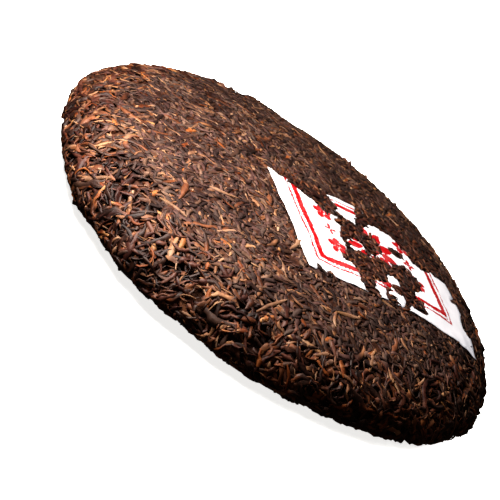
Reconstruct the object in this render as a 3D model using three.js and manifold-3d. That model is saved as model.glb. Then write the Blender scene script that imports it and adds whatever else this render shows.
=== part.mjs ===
// A pressed cake of pu erh tea: a low round disc with a crowned top, a rounded rim and a flat
// foot with the hollow that the press cloth's knot leaves. Twisted leaves lie all over it.
// A paper ticket is pressed into the top, partly under a thin layer of leaf.
// Millimetres, +Z up, +X along the ticket's long side, the middle of the foot at the origin.
import * as THREE from "three";
import { mergeVertices } from "three/addons/utils/BufferGeometryUtils.js";
import Module from "manifold-3d";

const wasm = await Module();
wasm.setup();

// The disc
const CAKE_RADIUS = 100;
const CROWN_HEIGHT = 31.5; // thickness at the middle
const RIM_HEIGHT = 8.4; // of the widest line above the table
const CROWN_SQUARENESS = 3.2; // 2 is an ellipse seen from the side, more is a flatter top
const CROWN_ROUNDNESS = 2.1;
const FOOT_SQUARENESS = 4.7;
const FOOT_CUT = 1; // how much the table presses off the rounded underside
const HOLLOW_RADIUS = 24; // of the knot's hollow in the underside
const HOLLOW_DEPTH = 7;

// The hand-shaped rim is neither quite round nor quite level. Each wave has its count per turn, its
// size, which is a share of the reach or a height, and its phase in degrees.
const REACH_WAVES = [
  [2, 0.003, 240],
  [3, 0.004, 20],
  [4, 0.0125, 225],
];
const LEVEL_WAVES = [
  [1, 1.5, 217],
  [2, 1.2, 170],
];

// The pressed mass under the leaves that show
const CORE_DETAIL = 11; // subdivisions of each face of the icosahedron that the skin starts from
const CORE_SINK = 0.5; // the mass lies this far under the tops of the leaves
const LUMP = 1.4; // how far its lumps rise and fall
const FOOT_RING = [32, 66]; // radii between which the foot is pressed flat

// The leaves
const LEAF_COUNT = 195;
const LEAF_LENGTH = [11, 21];
const LEAF_WIDTH = [2.4, 4.2];
const LEAF_THICKNESS = 2.2;
const LEAF_BEND = 0.28; // most sideways bow, as a share of the length
const LEAF_RINGS = [0.25, 0.75]; // where its sections are, along its length
const LEAF_RIDGE = 0.125; // how far its ridge is off its middle line, as a share of the width
const TIP_FULLNESS = 0.55; // width near a tip, as a share of the width
const CROWN_RISE = 0.35; // of a leaf's ridge over the skin
const RIM_RISE = 0.55; // as much more at most, out at the rim
const RIM_FROM = 0.75; // share of the cake's radius where the rim starts
const NEARLY_LEVEL = 0.9; // a normal's Z over which the skin counts as level
const GOLDEN_ANGLE = Math.PI * (3 - Math.sqrt(5));

// The paper ticket, and the gap that parts it from the leaf round it
const TICKET_LENGTH = 86;
const TICKET_WIDTH = 60;
const TICKET_CENTRE = [25, -16.5];
const TICKET_THICKNESS = 0.4;
const TICKET_EDGE_WOBBLE = 0.5;
const TICKET_EDGE_STEP = 9;
const GAP = 0.3;

// Leaf pressed over the ticket: centre from the ticket's centre, half length, half width, turn in degrees
const COVER_THICKNESS = 0.9;
const COVER_ROOT = 1; // how deep the patches reach into the mass
const COVER_SIDES = 11;
const COVER_UNEVENNESS = 0.34; // of a patch's outline, as a share of its size
const COVER_PATCHES = [
  [-23, 27, 13, 8, -22],
  [26, 24, 24, 13, -12],
  [-7, 9, 9, 6, -25],
  [-3, 0, 4, 6, 0],
  [-9, -13, 10.5, 8, -10],
  [12, -10, 10.5, 8, 55],
  [0, -8, 6, 4, 0],
  [-12, -26, 3.5, 8.5, 10],
  [-2, -28, 2.5, 8, -8],
  [9, -21, 9, 4, -12],
  [0, 16, 8, 3.5, 60],
];

const SEED = 20;
const MERGE_WITHIN = 1e-3; // vertices nearer than this are one vertex
const BELOW_TABLE = 20; // depth of the block that cuts off what is under the table

// A small repeatable random number source: each call gives a number from 0 to 1.
function seededRandom(seed) {
  let state = seed;
  return () => {
    state = (state + 0x6d2b79f5) | 0;
    let mixed = Math.imul(state ^ (state >>> 15), 1 | state);
    mixed = (mixed + Math.imul(mixed ^ (mixed >>> 7), 61 | mixed)) ^ mixed;
    return ((mixed ^ (mixed >>> 14)) >>> 0) / 4294967296;
  };
}

const random = seededRandom(SEED);
const between = ([low, high]) => low + (high - low) * random();
const radians = THREE.MathUtils.degToRad;

function wavesAt(waves, azimuth) {
  const heights = waves.map(([turns, size, phase]) => size * Math.cos(turns * azimuth + radians(phase)));
  return heights.reduce((sum, height) => sum + height, 0);
}

function hollowAt(radius) {
  if (radius >= HOLLOW_RADIUS) return 0;
  return (HOLLOW_DEPTH / 2) * (1 + Math.cos((Math.PI * radius) / HOLLOW_RADIUS));
}

// A point of the disc's outline in the half plane at an azimuth. Step 0 is the crown, 0.5 the rim
// and 1 the foot's middle.
function outlinePoint(step, azimuth) {
  const onTop = step <= 0.5;
  const turn = Math.PI * (onTop ? step : 1 - step);
  const reach = Math.sin(turn) ** (2 / (onTop ? CROWN_SQUARENESS : FOOT_SQUARENESS));
  const radius = CAKE_RADIUS * reach * (1 + reach * wavesAt(REACH_WAVES, azimuth));
  const rim = RIM_HEIGHT + wavesAt(LEVEL_WAVES, azimuth);
  const height = onTop
    ? rim + (CROWN_HEIGHT - rim) * Math.max(Math.cos(turn), 0) ** (2 / CROWN_ROUNDNESS)
    : Math.max((rim + FOOT_CUT) * (1 - Math.cos(turn)) - FOOT_CUT, 0) + hollowAt(radius);
  return new THREE.Vector2(radius, height);
}

// The share of the disc's skin that lies between the crown and each step of the outline.
const OUTLINE_STEPS = 240;
const SLOPE_STEP = 0.002; // the outline's slope is measured over this step each way
const skinShares = [0];
for (let i = 1; i <= OUTLINE_STEPS; i += 1) {
  const from = outlinePoint((i - 1) / OUTLINE_STEPS, 0);
  const to = outlinePoint(i / OUTLINE_STEPS, 0);
  skinShares.push(skinShares[i - 1] + from.distanceTo(to) * (from.x + to.x));
}
skinShares.forEach((share, i) => (skinShares[i] = share / skinShares[OUTLINE_STEPS]));

function stepOfShare(share) {
  const next = Math.max(1, skinShares.findIndex((known) => known >= share));
  const part = (share - skinShares[next - 1]) / (skinShares[next] - skinShares[next - 1]);
  return (next - 1 + part) / OUTLINE_STEPS;
}

function onSkin(step, azimuth) {
  const { x: radius, y: height } = outlinePoint(step, azimuth);
  return new THREE.Vector3(radius * Math.cos(azimuth), radius * Math.sin(azimuth), height);
}

// The skin's point nearest to a point in space, in that point's own half plane, and its outward normal.
function nearestOnSkin(point) {
  const azimuth = Math.atan2(point.y, point.x);
  const here = new THREE.Vector2(Math.hypot(point.x, point.y), point.z);
  let best = 0;
  let least = Infinity;
  for (let i = 0; i <= OUTLINE_STEPS; i += 1) {
    const away = outlinePoint(i / OUTLINE_STEPS, azimuth).distanceToSquared(here);
    if (away < least) [best, least] = [i, away];
  }
  const step = THREE.MathUtils.clamp(best / OUTLINE_STEPS, SLOPE_STEP, 1 - SLOPE_STEP);
  const before = outlinePoint(step - SLOPE_STEP, azimuth);
  const along = outlinePoint(step + SLOPE_STEP, azimuth).sub(before).normalize();
  const normal = new THREE.Vector3(-along.y * Math.cos(azimuth), -along.y * Math.sin(azimuth), along.x);
  return { position: onSkin(best / OUTLINE_STEPS, azimuth), normal };
}

// Changes from a geometry to a solid that can be joined and cut, and back.
function solidOf(geometry) {
  geometry.deleteAttribute("normal");
  geometry.deleteAttribute("uv");
  const merged = mergeVertices(geometry, MERGE_WITHIN);
  return new wasm.Manifold(
    new wasm.Mesh({
      numProp: 3,
      vertProperties: new Float32Array(merged.attributes.position.array),
      triVerts: new Uint32Array(merged.index.array),
    }),
  );
}

function geometryOf(solid) {
  const { numProp, numVert, vertProperties, triVerts } = solid.getMesh();
  const positions = new Float32Array(numVert * 3);
  for (let i = 0; i < numVert; i += 1) {
    positions.set(vertProperties.subarray(i * numProp, i * numProp + 3), i * 3);
  }
  const geometry = new THREE.BufferGeometry();
  geometry.setAttribute("position", new THREE.BufferAttribute(positions, 3));
  geometry.setIndex(new THREE.BufferAttribute(triVerts, 1));
  geometry.computeVertexNormals();
  return geometry;
}

// The pressed mass: an icosahedron's even triangles spread over the skin, each vertex sunk and
// lumped a little.
function pressedMass() {
  const ball = new THREE.IcosahedronGeometry(1, CORE_DETAIL);
  ball.deleteAttribute("normal");
  ball.deleteAttribute("uv");
  const geometry = mergeVertices(ball, MERGE_WITHIN);
  const position = geometry.attributes.position;
  const vertex = new THREE.Vector3();
  for (let i = 0; i < position.count; i += 1) {
    vertex.fromBufferAttribute(position, i).normalize();
    const step = stepOfShare(THREE.MathUtils.clamp((1 - vertex.z) / 2, 0, 1));
    const azimuth = Math.atan2(vertex.y, vertex.x);
    const { position: skin, normal } = nearestOnSkin(onSkin(step, azimuth));
    const radius = Math.hypot(skin.x, skin.y);
    const onFoot = step > 0.5 && radius > FOOT_RING[0] && radius < FOOT_RING[1];
    const lump = LUMP * (random() - 0.5) * (underTicket(skin) ? 0.5 : 1);
    if (!onFoot) skin.addScaledVector(normal, lump - CORE_SINK);
    position.setXYZ(i, skin.x, skin.y, onFoot ? 0 : Math.max(skin.z, 0));
  }
  return solidOf(geometry);
}

function underTicket(point) {
  const acrossX = Math.abs(point.x - TICKET_CENTRE[0]);
  const acrossY = Math.abs(point.y - TICKET_CENTRE[1]);
  return point.z > RIM_HEIGHT && acrossX < TICKET_LENGTH / 2 && acrossY < TICKET_WIDTH / 2;
}

// One twisted leaf: a bowed spindle of four sides that follows the skin.
function leafStrand(centre, heading, length, width, bow, rise) {
  const { position: root, normal: up } = nearestOnSkin(centre);
  const side = Math.abs(up.z) > NEARLY_LEVEL ? new THREE.Vector3(1, 0, 0) : new THREE.Vector3(0, 0, 1);
  const across = new THREE.Vector3().crossVectors(side, up).normalize().applyAxisAngle(up, heading);
  const forward = new THREE.Vector3().crossVectors(across, up);
  const pathPoint = (share) => {
    const sideways = bow * length * 4 * share * (1 - share);
    const ahead = length * (share - 0.5);
    return nearestOnSkin(root.clone().addScaledVector(forward, ahead).addScaledVector(across, sideways));
  };
  const vertices = [];
  const addPoint = (share, out, over) => {
    const { position, normal } = pathPoint(share);
    const sideDirection = new THREE.Vector3().crossVectors(normal, forward).normalize();
    vertices.push(...position.addScaledVector(sideDirection, out).addScaledVector(normal, over).toArray());
  };
  const half = LEAF_THICKNESS / 2;
  addPoint(0, 0, -half);
  for (const share of LEAF_RINGS) {
    const fullness = TIP_FULLNESS + (1 - TIP_FULLNESS) * Math.sin(Math.PI * share);
    addPoint(share, (width / 2) * fullness, rise - half / 2);
    addPoint(share, LEAF_RIDGE * width * fullness, rise);
    addPoint(share, (-width / 2) * fullness, rise - half / 2);
    addPoint(share, 0, rise - LEAF_THICKNESS);
  }
  addPoint(1, 0, -half);
  return solidOf(indexedGeometry(vertices, spindleFaces(LEAF_RINGS.length, 4)));
}

function indexedGeometry(vertices, faces) {
  const geometry = new THREE.BufferGeometry();
  geometry.setAttribute("position", new THREE.Float32BufferAttribute(vertices, 3));
  geometry.setIndex(faces);
  return geometry;
}

// Faces of a closed spindle: a tip, rings of the same number of sides, and a tip.
function spindleFaces(rings, sides) {
  const faces = [];
  const last = 1 + rings * sides;
  for (let i = 0; i < sides; i += 1) {
    const next = (i + 1) % sides;
    faces.push(0, 1 + next, 1 + i);
    for (let ring = 0; ring < rings - 1; ring += 1) {
      const near = 1 + ring * sides;
      const far = near + sides;
      faces.push(near + i, far + next, far + i, near + i, near + next, far + next);
    }
    const end = 1 + (rings - 1) * sides;
    faces.push(end + i, end + next, last);
  }
  return faces;
}

// Upright prisms over the ticket and over each patch of leaf that covers it.
function uprightPrism(corners) {
  const shape = new THREE.Shape(corners.map(([x, y]) => new THREE.Vector2(x, y)));
  return solidOf(new THREE.ExtrudeGeometry(shape, { depth: CROWN_HEIGHT * 2, bevelEnabled: false }));
}

// The ticket's outline, its edges a little uneven, and the same grown by a margin.
function ticketCorners(margin) {
  const wobble = seededRandom(SEED);
  const corners = [];
  const halves = [TICKET_LENGTH / 2, TICKET_WIDTH / 2];
  const ends = [[-1, -1], [1, -1], [1, 1], [-1, 1]];
  ends.forEach(([x, y], i) => {
    const [nextX, nextY] = ends[(i + 1) % ends.length];
    const span = Math.abs(nextX - x) * halves[0] + Math.abs(nextY - y) * halves[1];
    const pieces = Math.round(span / TICKET_EDGE_STEP);
    for (let k = 0; k < pieces; k += 1) {
      const [alongX, alongY] = [x + ((nextX - x) * k) / pieces, y + ((nextY - y) * k) / pieces];
      const inward = margin - (k ? TICKET_EDGE_WOBBLE * wobble() : 0);
      corners.push([
        TICKET_CENTRE[0] + alongX * (halves[0] + inward),
        TICKET_CENTRE[1] + alongY * (halves[1] + inward),
      ]);
    }
  });
  return corners;
}

function patchCorners([x, y, halfLength, halfWidth, turn]) {
  return Array.from({ length: COVER_SIDES }, (_, i) => {
    const angle = (2 * Math.PI * i) / COVER_SIDES;
    const spread = 1 + COVER_UNEVENNESS * (random() - 0.5);
    const [along, over] = [halfLength * spread * Math.cos(angle), halfWidth * spread * Math.sin(angle)];
    const [cos, sin] = [Math.cos(radians(turn)), Math.sin(radians(turn))];
    return [TICKET_CENTRE[0] + x + along * cos - over * sin, TICKET_CENTRE[1] + y + along * sin + over * cos];
  });
}

function insidePatch([x, y, halfLength, halfWidth, turn], point) {
  const [alongX, alongY] = [point.x - TICKET_CENTRE[0] - x, point.y - TICKET_CENTRE[1] - y];
  const [cos, sin] = [Math.cos(radians(turn)), Math.sin(radians(turn))];
  const [along, over] = [alongX * cos + alongY * sin, alongY * cos - alongX * sin];
  return (along / halfLength) ** 2 + (over / halfWidth) ** 2 < 1;
}

// Leaves spread evenly over the whole skin on a golden-angle spiral, apart from the flat foot and
// the bare paper.
function leaves() {
  const made = [];
  for (let i = 0; i < LEAF_COUNT; i += 1) {
    const step = stepOfShare((i + 0.5) / LEAF_COUNT);
    const centre = onSkin(step, i * GOLDEN_ANGLE);
    const radius = Math.hypot(centre.x, centre.y);
    const nearRim = THREE.MathUtils.smoothstep(radius, RIM_FROM * CAKE_RADIUS, CAKE_RADIUS);
    const [heading, bow] = [2 * Math.PI * random(), LEAF_BEND * (2 * random() - 1)];
    const [length, width] = [between(LEAF_LENGTH), between(LEAF_WIDTH)];
    const rise = CROWN_RISE + RIM_RISE * nearRim * random();
    const onFoot = step > 0.5 && radius < FOOT_RING[1] + length / 2;
    const bare = underTicket(centre) && !COVER_PATCHES.some((patch) => insidePatch(patch, centre));
    if (!onFoot && !bare) made.push(leafStrand(centre, heading, length, width, bow, rise));
  }
  return made;
}

// The layer between two copies of the mass, one raised over the other, so that it follows every lump.
function layerOver(mass, low, high) {
  return mass.translate(0, 0, high).subtract(mass.translate(0, 0, low));
}

// The one main body: loose scraps are dropped, and hollows that the leaves seal are filled.
function mainBody(solid) {
  const larger = (one, other) => (other.volume() > one.volume() ? other : one);
  const biggest = (whole) => whole.decompose().reduce(larger);
  return biggest(solidOf(geometryOf(biggest(solid))));
}

function namedMesh(name, solid, colour, roughness) {
  const material = new THREE.MeshStandardMaterial({ color: colour, roughness, metalness: 0 });
  const mesh = new THREE.Mesh(geometryOf(solid), material);
  mesh.name = name;
  return mesh;
}

const mass = pressedMass();
const coverLayer = layerOver(mass, -COVER_ROOT, GAP + COVER_THICKNESS);
const cover = wasm.Manifold.union(COVER_PATCHES.map((patch) => uprightPrism(patchCorners(patch))));
const ticketRoom = layerOver(mass, -TICKET_THICKNESS - GAP, GAP).intersect(uprightPrism(ticketCorners(GAP)));
const block = new THREE.BoxGeometry(4 * CAKE_RADIUS, 4 * CAKE_RADIUS, BELOW_TABLE);
const belowTable = solidOf(block.translate(0, 0, -BELOW_TABLE / 2));

const cake = mainBody(
  wasm.Manifold.union([mass, coverLayer.intersect(cover), ...leaves()])
    .subtract(ticketRoom)
    .subtract(belowTable),
);
const ticket = mainBody(layerOver(mass, -TICKET_THICKNESS, 0).intersect(uprightPrism(ticketCorners(0))));

const teaCake = new THREE.Group();
teaCake.add(namedMesh("tea_cake", cake, 0x3b2419, 0.75));
teaCake.add(namedMesh("paper_ticket", ticket, 0xefebe6, 0.85));

// The foot's middle, half way across the disc each way, is the origin.
const size = new THREE.Box3().setFromObject(teaCake);
const middle = size.getCenter(new THREE.Vector3());
teaCake.position.set(-middle.x, -middle.y, -size.min.z);

export default teaCake;
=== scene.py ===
# %% [markdown]
# # A pressed cake of pu erh tea
#
# The real thing is thousands upon thousands of twisted tea leaves, steamed soft and pressed
# under a stone into a disc as wide as a small plate. Nothing holds it together but the leaves
# themselves. So this lesson grows it the same way: first a dark mass with the disc's outline,
# then leaf after leaf laid along its skin, and last the paper ticket that was pressed in with
# them and the leaf that lies over it.

# %% The fixed frame
from math import cos, pi, radians, sin, tau

import bpy
import numpy as np
from mathutils import Matrix, Vector, noise


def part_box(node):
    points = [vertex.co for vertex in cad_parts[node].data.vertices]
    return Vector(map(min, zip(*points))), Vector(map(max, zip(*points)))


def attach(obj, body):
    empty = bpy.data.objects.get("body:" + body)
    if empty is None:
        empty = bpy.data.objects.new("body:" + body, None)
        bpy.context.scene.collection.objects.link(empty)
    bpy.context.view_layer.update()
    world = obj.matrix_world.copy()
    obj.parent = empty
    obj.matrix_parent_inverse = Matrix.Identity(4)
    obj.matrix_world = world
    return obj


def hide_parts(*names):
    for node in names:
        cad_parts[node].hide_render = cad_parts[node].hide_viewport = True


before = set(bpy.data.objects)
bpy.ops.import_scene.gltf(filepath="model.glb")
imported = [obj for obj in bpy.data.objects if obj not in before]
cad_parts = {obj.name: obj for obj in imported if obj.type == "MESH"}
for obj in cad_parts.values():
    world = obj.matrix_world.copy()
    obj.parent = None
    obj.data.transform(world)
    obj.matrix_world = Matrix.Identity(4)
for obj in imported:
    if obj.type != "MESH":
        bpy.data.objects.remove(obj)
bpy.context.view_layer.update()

print("solids in the frame:", sorted(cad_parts))

# %% [markdown]
# ## Where things are
#
# All sizes below are in millimetres, as a maker would measure them, and Blender's unit is the
# metre. The ticket lies off the middle of the disc by a known amount, so its place in the
# frame tells where the disc's own middle is.

# %% Units and the middle of the disc
MM = 0.001
TICKET_FROM_MIDDLE = Vector((25.0, -16.5, 0.0)) * MM
ticket_low, ticket_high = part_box("paper_ticket")
ticket_middle = (ticket_low + ticket_high) / 2
disc_middle = Vector((ticket_middle.x, ticket_middle.y, 0.0)) - TICKET_FROM_MIDDLE
print("middle of the disc, mm:", [round(c / MM, 2) for c in disc_middle])

# %% [markdown]
# ## The camera
#
# The photograph looks across the cake from low down with a long lens, and the camera is
# rolled, so the disc's long way runs from the upper left to the lower right. An aim point, a
# direction from the middle of the disc and a roll give that view. The camera comes first,
# because the lights are placed from where it stands.

# %% Camera
CAMERA_AZIMUTH = radians(-35.6)
CAMERA_ELEVATION = radians(23.7)
CAMERA_DISTANCE = 642.6 * MM
CAMERA_AIM = Vector((-19.7, -14.2, 10.0)) * MM
CAMERA_ROLL = radians(38.3)
SENSOR = 36.0  # width in millimetres
LENS = 118.6  # focal length in millimetres


def seen_from(azimuth, elevation, distance):
    """A place round the middle of the disc; azimuth 0 stands in front and looks along +Y."""
    level = distance * cos(elevation)
    return disc_middle + Vector((sin(azimuth) * level, -cos(azimuth) * level, distance * sin(elevation)))


def aimed(place, aim, roll=0.0):
    """The placing of a camera or a lamp that looks at a point, turned about its own line of sight."""
    turn = (aim - place).to_track_quat("-Z", "Y").to_matrix().to_4x4()
    return Matrix.Translation(place) @ turn @ Matrix.Rotation(roll, 4, "Z")


camera = bpy.data.objects.new("camera", bpy.data.cameras.new("camera"))
bpy.context.scene.collection.objects.link(camera)
camera.data.sensor_width = SENSOR
camera.data.lens = LENS
camera.matrix_world = aimed(
    seen_from(CAMERA_AZIMUTH, CAMERA_ELEVATION, CAMERA_DISTANCE), disc_middle + CAMERA_AIM, CAMERA_ROLL
)
bpy.context.scene.camera = camera
print("camera stands at, mm:", [round(c / MM) for c in camera.matrix_world.translation])

# %% [markdown]
# ## The skin of the disc
#
# A cake's outline from the side is a squarish oval: a broad crown, a rounded rim low down and
# a flat foot with a hollow in its middle, where the knot of the press cloth sat. Two rounded
# curves of the same family, one over and one under the widest line, give it from a few sizes.
# The rim of a cake shaped by hand is neither quite round nor quite level, so slow waves are
# added as it goes round.

# %% The outline's sizes
CAKE_RADIUS = 100.0
CROWN_HEIGHT = 31.5
RIM_HEIGHT = 8.4
CROWN_SQUARENESS = 3.2  # the higher, the further the crown stays broad on its way up
CROWN_ROUNDNESS = 2.1
FOOT_SQUARENESS = 4.7
FOOT_CUT = 1.0  # how much of the curve is cut off flat
HOLLOW_RADIUS = 24.0
HOLLOW_DEPTH = 7.0
# Waves round the rim: turns, size and phase in degrees
REACH_WAVES = [(2, 0.003, 240), (3, 0.004, 20), (4, 0.0125, 225)]  # size as a share of the reach
LEVEL_WAVES = [(1, 1.5, 217), (2, 1.2, 170)]  # size in millimetres of height


def waves_at(waves, azimuth):
    return sum(size * np.cos(turns * azimuth + radians(phase)) for turns, size, phase in waves)


def outline(step, azimuth):
    """Radius and height of the skin, from step 0 on the crown to 1 in the middle of the foot."""
    on_top = step <= 0.5
    turn = pi * np.where(on_top, step, 1 - step)
    reach = np.sin(turn) ** (2 / np.where(on_top, CROWN_SQUARENESS, FOOT_SQUARENESS))
    radius = CAKE_RADIUS * reach * (1 + reach * waves_at(REACH_WAVES, azimuth))
    rim = RIM_HEIGHT + waves_at(LEVEL_WAVES, azimuth)
    rise = np.maximum(np.cos(turn), 0) ** (2 / CROWN_ROUNDNESS)
    hollow = np.where(radius < HOLLOW_RADIUS, HOLLOW_DEPTH / 2 * (1 + np.cos(pi * radius / HOLLOW_RADIUS)), 0)
    crown = rim + (CROWN_HEIGHT - rim) * rise
    foot = np.maximum((rim + FOOT_CUT) * (1 - np.cos(turn)) - FOOT_CUT, 0) + hollow
    return radius, np.where(on_top, crown, foot)


# %% [markdown]
# ## From a ball to the disc
#
# An icosphere has even triangles all over, so it is the best start for a closed skin that
# leaves will be scattered on. Each of its points is moved to the place on the disc that has
# the same share of the skin above it. That keeps the triangles even on the disc as well.

# %% Points and normals of a mesh
def read_rows(items, what):
    """Three numbers of each item, one row for each."""
    rows = np.empty(len(items) * 3)
    items.foreach_get(what, rows)
    return rows.reshape(-1, 3)


def read_points(mesh):
    return read_rows(mesh.vertices, "co")


def read_normals(mesh):
    return read_rows(mesh.vertex_normals, "vector")


def write_points(mesh, points):
    mesh.vertices.foreach_set("co", points.ravel())
    mesh.update()


# %% Skin mesh
SKIN_SUBDIVISIONS = 7
OUTLINE_STEPS = 400


def share_of_skin():
    """The share of the disc's skin above each step of the outline."""
    steps = np.linspace(0, 1, OUTLINE_STEPS + 1)
    radius, height = outline(steps, np.zeros_like(steps))
    strips = np.hypot(np.diff(radius), np.diff(height)) * (radius[1:] + radius[:-1])
    share = np.concatenate([[0], np.cumsum(strips)])
    return steps, share / share[-1]


def skin_mesh(name):
    """The disc's smooth skin, in millimetres round its own middle."""
    bpy.ops.mesh.primitive_ico_sphere_add(subdivisions=SKIN_SUBDIVISIONS, radius=1)
    ball = bpy.context.object
    mesh = ball.data
    bpy.data.objects.remove(ball)
    mesh.name = name
    points = read_points(mesh)
    points /= np.linalg.norm(points, axis=1, keepdims=True)
    steps, share = share_of_skin()
    step = np.interp((1 - points[:, 2]) / 2, share, steps)
    azimuth = np.arctan2(points[:, 1], points[:, 0])
    radius, height = outline(step, azimuth)
    write_points(mesh, np.stack([radius * np.cos(azimuth), radius * np.sin(azimuth), height], axis=1))
    return mesh


skin = skin_mesh("skin")
print("skin:", len(skin.polygons), "triangles")

# %% [markdown]
# ## Lumps and cracks
#
# The press leaves the crown nearly smooth but never flat: clumps of leaf stand a little proud
# and the rim, which the stone doesn't reach, is coarse and loose. Noise of two sizes moves the
# skin in and out, more at the rim than on the crown and the foot. Where slow noise passes
# through zero it draws thin winding lines, and along some of them the skin sinks: these are
# the cracks between clumps.

# %% Noise at points
SEED_SHIFT = (17.3, 5.1, 11.7)  # each seed reads the noise at a place of its own


def smoothstep(low, high, value):
    t = np.clip((value - low) / (high - low), 0, 1)
    return t * t * (3 - 2 * t)


def noise_at(points, size, seed):
    shift = Vector([seed * part for part in SEED_SHIFT])
    return np.array([noise.noise(Vector(p) / size + shift) for p in points])


def lumps(points, layers, seed):
    return sum(height * noise_at(points, size, seed + i) for i, (size, height) in enumerate(layers))


# %% Cracks
CRACK_SPACING = 30.0
CRACK_WIDTH = 0.055  # as a part of the noise's own range
CRACK_DEPTH = 1.5  # on the rim
CRACK_ON_CROWN = 0.45  # its depth there, as a share of the rim's
CRACK_STRETCH = 24.0  # about how far a crack runs before it closes
CRACK_FADE = (-0.05, 0.15)  # the noise that opens a crack goes from shut to open between these
CRACKS_FEWER = 0.15  # taken from that noise everywhere
CRACKS_ON_RIM = 0.3  # and given to it on the rim


def cracks(points, rimward):
    """1 along a crack and 0 away from it; the crown has fewer than the rim."""
    line = 1 - smoothstep(0, CRACK_WIDTH, abs(noise_at(points, CRACK_SPACING, seed=61)))
    there = noise_at(points, CRACK_STRETCH, seed=62) + CRACKS_ON_RIM * rimward - CRACKS_FEWER
    return line * smoothstep(*CRACK_FADE, there)


# %% Lumps on the skin
LUMPS_CROWN = [(22.0, 0.55), (8.0, 0.35)]  # size across and height of the lumps
LUMPS_RIM = [(20.0, 1.1), (7.0, 0.9)]
CROWN_EDGE = 74.0  # the pressed crown and foot end about here
RIM_EDGE = 92.0  # and from here on all is loose rim
FOOT_LEAST = 0.6  # the skin's least height, which leaves room for the leaves that lie on the table

smooth_points = read_points(skin)
smooth_normals = read_normals(skin)
rimward = smoothstep(CROWN_EDGE, RIM_EDGE, np.hypot(smooth_points[:, 0], smooth_points[:, 1]))
uneven = (1 - rimward) * lumps(smooth_points, LUMPS_CROWN, seed=1)
uneven += rimward * lumps(smooth_points, LUMPS_RIM, seed=5)
cracked = cracks(smooth_points, rimward)
uneven -= CRACK_DEPTH * cracked * (CRACK_ON_CROWN + (1 - CRACK_ON_CROWN) * rimward)
skin_points = smooth_points + smooth_normals * uneven[:, None]
skin_points[:, 2] = np.maximum(skin_points[:, 2], FOOT_LEAST)
write_points(skin, skin_points)
print("lumps from", round(uneven.min(), 2), "to", round(uneven.max(), 2), "mm")

# %% [markdown]
# ## Where each kind of leaf may lie
#
# Every vertex of the skin gets a few weights from 0 to 1: how far it is out on the loose rim,
# whether it is under the bare ticket, and whether it is one of the places where leaf lies over
# the ticket. Along a crack the weights for pressed and loose leaves are low, so that few lie
# there. The scatter further down reads the weights by name. A patch of leaf over the ticket is
# an ellipse, with noise to make its edge ragged.

# %% The ticket and the patches of leaf over it
TICKET_LENGTH = 86.0
TICKET_WIDTH = 60.0
# Leaf over the ticket: centre from the ticket's, half length, half width, turn in degrees
COVER_PATCHES = [
    (-23, 27, 13, 8, -22),
    (26, 24, 24, 13, -12),
    (-7, 9, 9, 6, -25),
    (-3, 0, 4, 6, 0),
    (-9, -13, 10.5, 8, -10),
    (12, -10, 10.5, 8, 55),
    (0, -8, 6, 4, 0),
    (-12, -26, 3.5, 8.5, 10),
    (-2, -28, 2.5, 8, -8),
    (9, -21, 9, 4, -12),
    (0, 16, 8, 3.5, 60),
]
# Smaller patches, too thin for the cake's solid
COVER_PATCHES += [(29, 11, 8, 6, 20), (40, 12, 8, 5, 0), (-36, 31, 6, 4, -20), (-19, 19.5, 8, 4, -38)]
COVER_PATCHES += [(-37, -31, 2.5, 3, 0), (-32, -31, 1.6, 4, 15), (-14, 3, 1.6, 7, -10), (1, 7, 3, 7, 20)]
COVER_PATCHES += [(6, -26, 2.4, 7, -25), (14, -25, 4.5, 2.6, 0), (45, -18, 2.8, 6, 0)]
COVER_PATCHES += [(44.5, -3.5, 3, 1.6, 20), (-14, -5.5, 3, 2.4, -40), (2, 24, 2.2, 8, -10)]
# Where the paper shows through the patches, in the same way
BARE_SPOTS = [(4.5, 16, 7, 2.8, 38), (14, 15.5, 5.5, 4, -25), (15, 0.5, 6, 2.4, -10)]
BARE_SPOTS += [(3.7, -15.4, 4, 2.7, 50), (-6.8, -26, 4.4, 2.8, 80), (4, -26.5, 4, 1.5, 70)]
BARE_SPOTS += [(-0.3, -24.5, 2, 1.6, 0), (12, -28.7, 5.5, 1.6, 3), (-8.5, 0.5, 3.2, 4, 20)]
BARE_SPOTS += [(-2.6, -4.2, 1.8, 1.4, 0), (16.5, -17, 2.4, 1.8, 0)]
# Leaf that lies between two bare spots
DARK_SPOTS = [(13.5, 7.2, 3.6, 2.6, -35)]
RAGGED = 0.22  # how much noise moves the edge of a patch
RAGGED_SIZE = 3.0
print("patches of leaf on the ticket:", len(COVER_PATCHES))

# %% How far inside a patch a point is
def on_ticket(points):
    """Each point's place on the ticket, from the ticket's middle, in millimetres."""
    offset = np.array(TICKET_FROM_MIDDLE.xy) / MM
    return points[:, :2] - offset


def in_patch(places, patch):
    """1 in the middle of a patch, 0 on its edge and less outside."""
    x, y, half_length, half_width, turn = patch
    across = places - (x, y)
    c, s = cos(radians(turn)), sin(radians(turn))
    along = (across[:, 0] * c + across[:, 1] * s) / half_length
    over = (across[:, 1] * c - across[:, 0] * s) / half_width
    return 1 - np.hypot(along, over)


def in_any(places, patches):
    return np.max([in_patch(places, patch) for patch in patches], axis=0)


def cover_at(points):
    """How far inside a patch of leaf each point is; below 0 the paper is bare."""
    places = on_ticket(points)
    covered = np.minimum(in_any(places, COVER_PATCHES), -in_any(places, BARE_SPOTS))
    covered = np.maximum(covered, in_any(places, DARK_SPOTS))
    flat = np.concatenate([places, np.zeros((len(places), 1))], axis=1)
    return covered + RAGGED * noise_at(flat, RAGGED_SIZE, seed=71)


# %% Weights
TOP_SIDE = 1.6  # the top begins this many rim heights up
BARE_BELOW = 0.04  # places less far inside a patch than this stay bare paper
COVERED_ABOVE = 0.1  # and those further inside than this get leaf
THINNED = 0.8  # share of the leaves that is missing along a crack


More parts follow.
